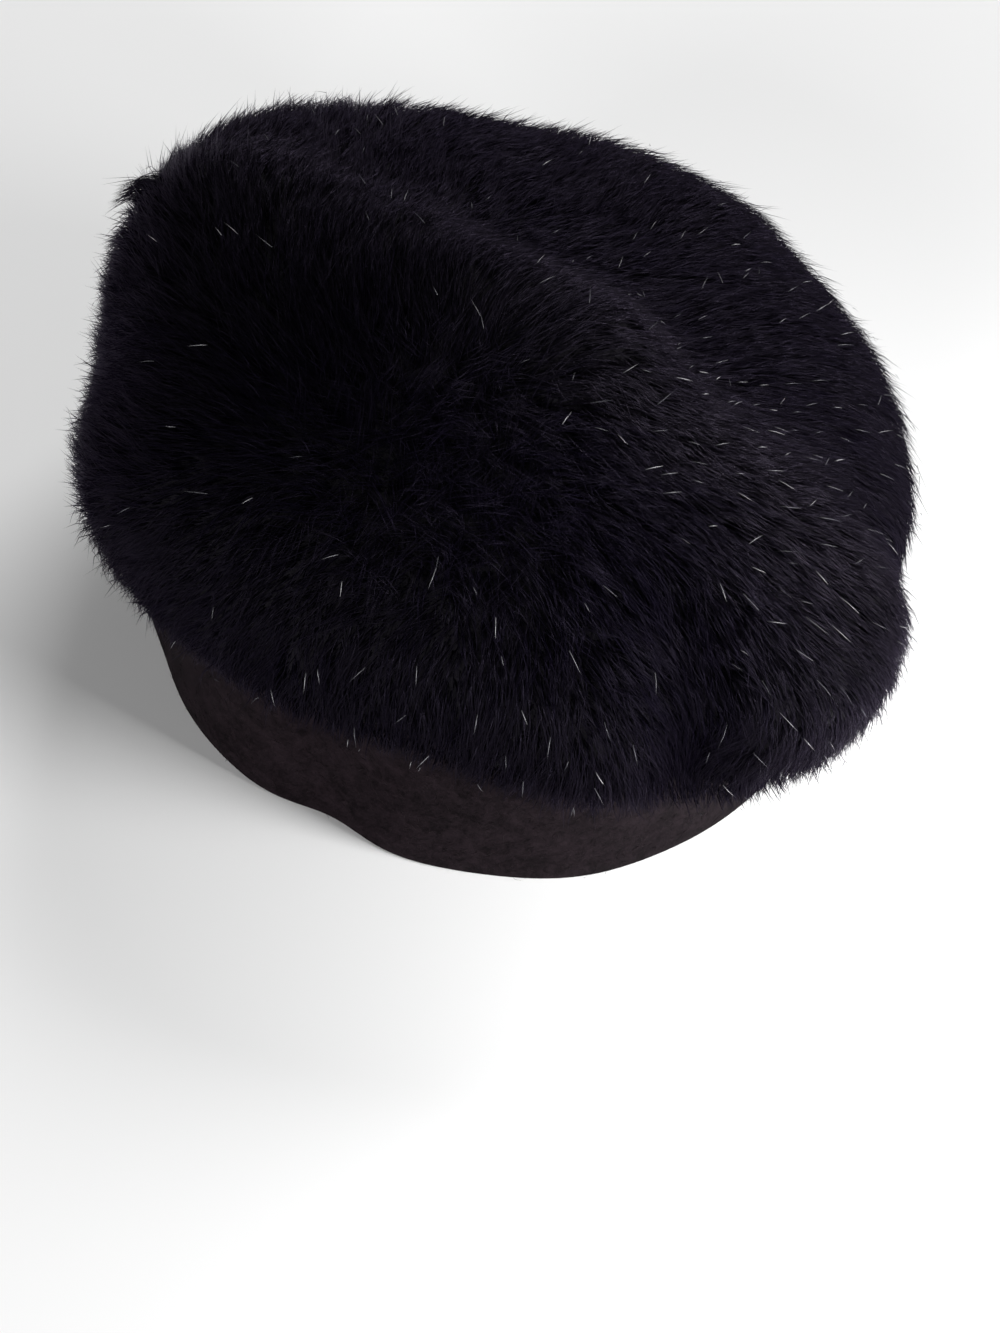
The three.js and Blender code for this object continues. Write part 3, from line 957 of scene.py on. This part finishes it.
    def build_locks(self, material: bpy.types.Material) -> None:
        """Makes the black locks as one mesh for each sector of the hat, with equal numbers of hairs.

        Args:
            material: finish of the black hairs.
        """
        paths, tone, azimuth = self.lock_hairs()
        half_width = self.hair_half_width * self.rng.uniform(0.7, 1.25, len(paths))
        order = np.argsort(azimuth % (2 * np.pi))
        for sector, chosen in zip(Sector, np.array_split(order, len(Sector))):
            name = f"fur_locks_{sector.value}"
            add_hairs(name, self.sizes, paths[chosen], half_width[chosen], tone[chosen], material)

    def build_silver(self, material: bpy.types.Material) -> None:
        """Scatters single pale guard hairs over the top layer. The hairs are real guard hairs, but more of
        them stand on the lit right side and fewer in sunk folds as a painted highlight.

        Args:
            material: finish of the pale hairs.
        """
        rng = self.rng
        roots = self.scatter(3 * self.silver_hairs)
        # painted highlight: the weight bunches pale hairs on the lit right side and thins them in sunk folds,
        # where shade falls
        right = 0.08 + np.clip(roots[:, 0] - 0.4 * roots[:, 1] + 0.15, 0, 1.3) ** 1.5
        right *= np.exp(np.minimum(self.form.fold_rise(self.form.at(roots, 0.0)), 0) / 2)
        roots = roots[rng.choice(len(roots), self.silver_hairs, replace=False, p=right / right.sum())]
        length = self.silver_length * rng.uniform(0.5, 1.5, self.silver_hairs)
        turn = self.silver_turn * rng.standard_normal(self.silver_hairs)
        points, side, normal = self.spines(roots, length, turn)
        chosen = np.linspace(0, self.spine_stations - 3, self.stations).astype(int)
        share = np.linspace(0, 1, self.stations)
        rise = rng.uniform(*self.silver_rise, (self.silver_hairs, 1)) + self.silver_tilt * share
        sway = rng.normal(0, self.silver_sway, (self.silver_hairs, 1)) * share**2
        paths = points[:, chosen] + sway[..., None] * side[:, chosen] + rise[..., None] * normal[:, chosen]
        half_width = self.silver_half_width * rng.uniform(0.6, 1.25, self.silver_hairs)
        tone = rng.random(self.silver_hairs) ** 2
        paths = self.clear_of_felt(paths)
        add_hairs("fur_silver_hairs", self.sizes, paths, half_width, tone, material)


# Finishes


class NodeTools:
    """Short ways to place and join shader nodes in one tree."""

    def __init__(self, tree: bpy.types.NodeTree) -> None:
        """Keeps the tree to work in."""
        self.tree = tree

    def add(self, kind: str, **settings: object) -> bpy.types.Node:
        """Adds a node and sets its properties."""
        node = self.tree.nodes.new(kind)
        for key, value in settings.items():
            setattr(node, key, value)
        return node

    def mix(
        self, first: bpy.types.NodeSocket, second: bpy.types.NodeSocket, share: float
    ) -> bpy.types.NodeSocket:
        """Blends two values by a fixed share of the second."""
        node = self.add("ShaderNodeMix")
        node.inputs["Factor"].default_value = share
        self.join(first, node.inputs["A"])
        self.join(second, node.inputs["B"])
        return node.outputs["Result"]

    def join(self, source: bpy.types.NodeSocket, target: bpy.types.NodeSocket) -> None:
        """Links an output to an input."""
        self.tree.links.new(source, target)


def new_material(name: str) -> tuple[bpy.types.Material, NodeTools, bpy.types.Node]:
    """Starts a material with one Principled shader.

    Args:
        name: name of the material.

    Returns:
        The material, tools for its tree, and its shader node.
    """
    material = bpy.data.materials.new(name)
    material.use_nodes = True
    tools = NodeTools(material.node_tree)
    return material, tools, material.node_tree.nodes["Principled BSDF"]


def felt_group() -> bpy.types.NodeTree:
    """Builds the shared felt effect: matted fibres, small tufts and soft blotches, on Object coordinates.

    Returns:
        Group with three noise sizes in, and a tone and a height out.
    """
    group = bpy.data.node_groups.new("matted_felt", "ShaderNodeTree")
    scales = {"Fibre Scale": 2200.0, "Tuft Scale": 420.0, "Blotch Scale": 110.0}
    for name, value in scales.items():
        socket = group.interface.new_socket(name, in_out="INPUT", socket_type="NodeSocketFloat")
        socket.default_value = value
    group.interface.new_socket("Tone", in_out="OUTPUT", socket_type="NodeSocketFloat")
    group.interface.new_socket("Height", in_out="OUTPUT", socket_type="NodeSocketFloat")
    tools = NodeTools(group)
    inputs = tools.add("NodeGroupInput")
    outputs = tools.add("NodeGroupOutput")
    place = tools.add("ShaderNodeTexCoord")
    noises = {}
    for name in scales:
        noise = tools.add("ShaderNodeTexNoise")
        noise.inputs["Detail"].default_value = 5.0
        noise.inputs["Roughness"].default_value = 0.65
        noise.inputs["Distortion"].default_value = 0.8
        tools.join(place.outputs["Object"], noise.inputs["Vector"])
        tools.join(inputs.outputs[name], noise.inputs["Scale"])
        noises[name] = noise.outputs["Fac"]
    matted = tools.mix(noises["Fibre Scale"], noises["Tuft Scale"], 0.5)
    tools.join(tools.mix(matted, noises["Blotch Scale"], 0.3), outputs.inputs["Tone"])
    tools.join(matted, outputs.inputs["Height"])
    return group


@dataclass(frozen=True)
class FeltFinish:
    """Matte felt with a short nap."""

    name: str
    dark: tuple[float, float, float]
    light: tuple[float, float, float]
    fibre_scale: float = 2200.0
    tuft_scale: float = 420.0
    blotch_scale: float = 110.0
    ramp_stops: tuple[float, float] = (0.4, 0.6)
    roughness: float = 0.92
    specular: float = 0.02
    sheen: float = 0.015
    sheen_roughness: float = 0.45
    bump: float = 0.7
    bump_depth: float = 0.4 * MM

    def build(self, felt: bpy.types.NodeTree) -> bpy.types.Material:
        """Makes the material from the shared felt effect.

        Args:
            felt: the felt node group.

        Returns:
            The material.
        """
        material, tools, shader = new_material(self.name)
        effect = tools.add("ShaderNodeGroup", node_tree=felt)
        effect.inputs["Fibre Scale"].default_value = self.fibre_scale
        effect.inputs["Tuft Scale"].default_value = self.tuft_scale
        effect.inputs["Blotch Scale"].default_value = self.blotch_scale
        ramp = tools.add("ShaderNodeValToRGB")
        ramp.color_ramp.elements[0].position = self.ramp_stops[0]
        ramp.color_ramp.elements[0].color = (*self.dark, 1)
        ramp.color_ramp.elements[1].position = self.ramp_stops[1]
        ramp.color_ramp.elements[1].color = (*self.light, 1)
        bump = tools.add("ShaderNodeBump")
        bump.inputs["Strength"].default_value = self.bump
        bump.inputs["Distance"].default_value = self.bump_depth
        tools.join(effect.outputs["Tone"], ramp.inputs["Fac"])
        tools.join(ramp.outputs["Color"], shader.inputs["Base Color"])
        tools.join(effect.outputs["Height"], bump.inputs["Height"])
        tools.join(bump.outputs["Normal"], shader.inputs["Normal"])
        shader.inputs["Roughness"].default_value = self.roughness
        shader.inputs["Specular IOR Level"].default_value = self.specular
        shader.inputs["Sheen Weight"].default_value = self.sheen
        shader.inputs["Sheen Roughness"].default_value = self.sheen_roughness
        return material


@dataclass(frozen=True)
class HairFinish:
    """Hair whose colour changes from hair to hair and from root to tip."""

    name: str
    root: tuple[float, float, float]
    cool_tip: tuple[float, float, float]
    warm_tip: tuple[float, float, float]
    gloss: float = 0.3
    mirror: float = 0.0
    edge_tint: tuple[float, float, float] = (1.0, 1.0, 1.0)
    dull: float = 0.42
    polished: float = 0.42

    def build(self) -> bpy.types.Material:
        """Makes the material from the hairs' own tone and place along the hair.

        Returns:
            The material.
        """
        material, tools, shader = new_material(self.name)
        tone = tools.add("ShaderNodeAttribute", attribute_name="tone")
        along = tools.add("ShaderNodeAttribute", attribute_name="along")
        tip = tools.add("ShaderNodeMix", data_type="RGBA")
        tip.inputs["A"].default_value = (*self.cool_tip, 1)
        tip.inputs["B"].default_value = (*self.warm_tip, 1)
        hair = tools.add("ShaderNodeMix", data_type="RGBA")
        hair.inputs["A"].default_value = (*self.root, 1)
        tools.join(tone.outputs["Fac"], tip.inputs["Factor"])
        tools.join(tip.outputs["Result"], hair.inputs["B"])
        tools.join(along.outputs["Fac"], hair.inputs["Factor"])
        tools.join(hair.outputs["Result"], shader.inputs["Base Color"])
        polish = tools.add("ShaderNodeMapRange")
        polish.inputs["To Min"].default_value = self.dull
        polish.inputs["To Max"].default_value = self.polished
        tools.join(tone.outputs["Fac"], polish.inputs["Value"])
        tools.join(polish.outputs["Result"], shader.inputs["Roughness"])
        shader.inputs["Specular IOR Level"].default_value = self.gloss
        shader.inputs["Metallic"].default_value = self.mirror
        shader.inputs["Specular Tint"].default_value = (*self.edge_tint, 1)
        return material


@dataclass(frozen=True)
class PeltFinish:
    """Dark under-fur between the locks."""

    name: str = "under_fur"
    dark: tuple[float, float, float] = (0.0016, 0.0013, 0.0022)
    light: tuple[float, float, float] = (0.006, 0.005, 0.0075)
    noise_scale: float = 700.0
    noise_detail: float = 5.0
    roughness: float = 0.9
    specular: float = 0.1
    bump: float = 0.8
    bump_depth: float = 1.0 * MM

    def build(self) -> bpy.types.Material:
        """Makes the material from fine noise on Object coordinates.

        Returns:
            The material.
        """
        material, tools, shader = new_material(self.name)
        place = tools.add("ShaderNodeTexCoord")
        noise = tools.add("ShaderNodeTexNoise")
        noise.inputs["Scale"].default_value = self.noise_scale
        noise.inputs["Detail"].default_value = self.noise_detail
        ramp = tools.add("ShaderNodeValToRGB")
        ramp.color_ramp.elements[0].color = (*self.dark, 1)
        ramp.color_ramp.elements[1].color = (*self.light, 1)
        bump = tools.add("ShaderNodeBump")
        bump.inputs["Strength"].default_value = self.bump
        bump.inputs["Distance"].default_value = self.bump_depth
        tools.join(place.outputs["Object"], noise.inputs["Vector"])
        tools.join(noise.outputs["Fac"], ramp.inputs["Fac"])
        tools.join(ramp.outputs["Color"], shader.inputs["Base Color"])
        tools.join(noise.outputs["Fac"], bump.inputs["Height"])
        tools.join(bump.outputs["Normal"], shader.inputs["Normal"])
        shader.inputs["Roughness"].default_value = self.roughness
        shader.inputs["Specular IOR Level"].default_value = self.specular
        return material


BAND_FELT = FeltFinish("brown_felt", dark=(0.0016, 0.0009, 0.0013), light=(0.0112, 0.0074, 0.0094))
CROWN_FELT = FeltFinish("dark_felt", dark=(0.018, 0.013, 0.014), light=(0.036, 0.028, 0.030))
BLACK_HAIR = HairFinish(
    "black_hair",
    root=(0.0016, 0.0012, 0.0034),
    cool_tip=(0.0043, 0.0032, 0.0078),
    # tone mixes cool_tip to warm_tip partly at random and partly by fold rise, which paints a highlight on
    # ridges and painted shade in hollows
    warm_tip=(0.0215, 0.0185, 0.0250),
    gloss=0.03,
    mirror=0.6,
    edge_tint=(0.60, 0.55, 0.68),
    dull=0.5,
    polished=0.24,
)
FELT_NAP = HairFinish(
    "felt_nap",
    root=(0.0050, 0.0034, 0.0042),
    cool_tip=(0.0090, 0.0064, 0.0080),
    warm_tip=(0.0380, 0.0270, 0.0300),
    gloss=0.05,
    dull=0.8,
    polished=0.6,
)
SILVER_HAIR = HairFinish(
    "silver_hair",
    root=(0.03, 0.03, 0.034),
    cool_tip=(0.09, 0.09, 0.11),
    warm_tip=(0.75, 0.74, 0.76),
    gloss=0.5,
)


# Studio


@dataclass(frozen=True)
class PhotoView:
    """Camera as in the photograph: the middle of the band's oval shows at a known pixel."""

    lens_mm: float = 50.0
    sensor_mm: float = 36.0
    image_width: float = 1000.0
    image_height: float = 1333.0
    elevation_deg: float = 46.0
    roll_deg: float = -12.0
    distance: float = 0.508
    rim_pixel: tuple[float, float] = (491.0, 585.0)

    def build(self, target: np.ndarray) -> bpy.types.Object:
        """Makes the scene's camera.

        Args:
            target: middle of the band's oval.

        Returns:
            The camera.
        """
        data = bpy.data.cameras.new("photo_camera")
        data.lens = self.lens_mm
        data.sensor_width = self.sensor_mm
        camera = bpy.data.objects.new("photo_camera", data)
        bpy.context.scene.collection.objects.link(camera)
        elevation = math.radians(self.elevation_deg)
        back = Vector((0, -math.cos(elevation), math.sin(elevation)))
        right = Vector((1, 0, 0))
        level = Matrix((right, back.cross(right), back)).transposed()
        rolled = level @ Matrix.Rotation(math.radians(self.roll_deg), 3, "Z").inverted()
        focal = self.lens_mm / self.sensor_mm * self.image_height
        pixel = Vector((
            (self.rim_pixel[0] - self.image_width / 2) / focal,
            (self.image_height / 2 - self.rim_pixel[1]) / focal,
            -1,
        ))
        aim = pixel.rotation_difference(Vector((0, 0, -1))).to_matrix()
        stand = Matrix.Translation(Vector(target) + self.distance * back)
        camera.matrix_world = stand @ (rolled @ aim).to_4x4()
        bpy.context.scene.camera = camera
        return camera


@dataclass(frozen=True)
class SoftLight:
    """A square soft box that points at the hat."""

    name: str
    place: tuple[float, float, float]
    size: float
    power: float
    aim: tuple[float, float, float] = (0.0, 0.0, 0.05)

    def build(self) -> None:
        """Makes the light and turns it to the hat."""
        data = bpy.data.lights.new(self.name, "AREA")
        data.size = self.size
        data.energy = self.power
        light = bpy.data.objects.new(self.name, data)
        bpy.context.scene.collection.objects.link(light)
        light.location = self.place
        way = Vector(self.aim) - light.location
        light.rotation_euler = way.to_track_quat("-Z", "Y").to_euler()


@dataclass(frozen=True)
class Studio:
    """Plain pale floor and backdrop, soft boxes mostly from the right and a weak even fill."""

    floor_half: float = 2.5
    floor_tone: float = 0.84
    floor_roughness: float = 0.9
    fill: float = 0.06
    backdrop: float = 0.8
    lights: tuple[SoftLight, ...] = (
        SoftLight("right_key", place=(2.45, -0.5, 1.0), size=1.1, power=30.0),
        SoftLight("right_near", place=(0.30, -0.16, 0.14), size=0.12, power=1.7),
        SoftLight("back_right", place=(0.3, 2.45, 1.9), size=1.76, power=86.0),
        SoftLight("front_low", place=(-0.9, -2.4, 0.55), size=1.2, power=78.0),
    )

    def build(self) -> None:
        """Makes the floor, the lights and the world."""
        self.add_floor()
        for light in self.lights:
            light.build()
        world = bpy.data.worlds.new("soft_room")
        world.use_nodes = True
        background = world.node_tree.nodes["Background"]
        background.inputs["Color"].default_value = (1.0, 1.0, 1.0, 1)
        tools = NodeTools(world.node_tree)
        path = tools.add("ShaderNodeLightPath")
        strength = tools.add("ShaderNodeMapRange")
        strength.inputs["To Min"].default_value = self.fill
        strength.inputs["To Max"].default_value = self.backdrop
        tools.join(path.outputs["Is Camera Ray"], strength.inputs["Value"])
        tools.join(strength.outputs["Result"], background.inputs["Strength"])
        bpy.context.scene.world = world
        bpy.context.scene.view_settings.view_transform = "Standard"

    def add_floor(self) -> None:
        """Makes a wide pale floor just under the band."""
        half = self.floor_half
        mesh = bpy.data.meshes.new("floor")
        corners = [(-half, -half, 0), (half, -half, 0), (half, half, 0), (-half, half, 0)]
        mesh.from_pydata(corners, [], [(0, 1, 2, 3)])
        material, _, shader = new_material("pale_floor")
        shader.inputs["Base Color"].default_value = (*[self.floor_tone] * 3, 1)
        shader.inputs["Roughness"].default_value = self.floor_roughness
        mesh.materials.append(material)
        floor = bpy.data.objects.new("floor", mesh)
        bpy.context.scene.collection.objects.link(floor)


def main() -> None:
    """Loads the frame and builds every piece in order."""
    logging.basicConfig(level=logging.INFO, format="%(name)s %(message)s")
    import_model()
    sizes = HatSizes.from_frame()
    felt = felt_group()
    band = FeltBand(sizes)
    band.build(BAND_FELT.build(felt))
    band.build_nap(FELT_NAP.build())
    FeltCrown(sizes).build(CROWN_FELT.build(felt))
    coat = FurCoat(sizes, FurForm())
    coat.build_pelt(PeltFinish().build())
    coat.build_locks(BLACK_HAIR.build())
    coat.build_silver(SILVER_HAIR.build())
    PhotoView().build(sizes.middle)
    Studio().build()


if __name__ == "__main__":
    main()
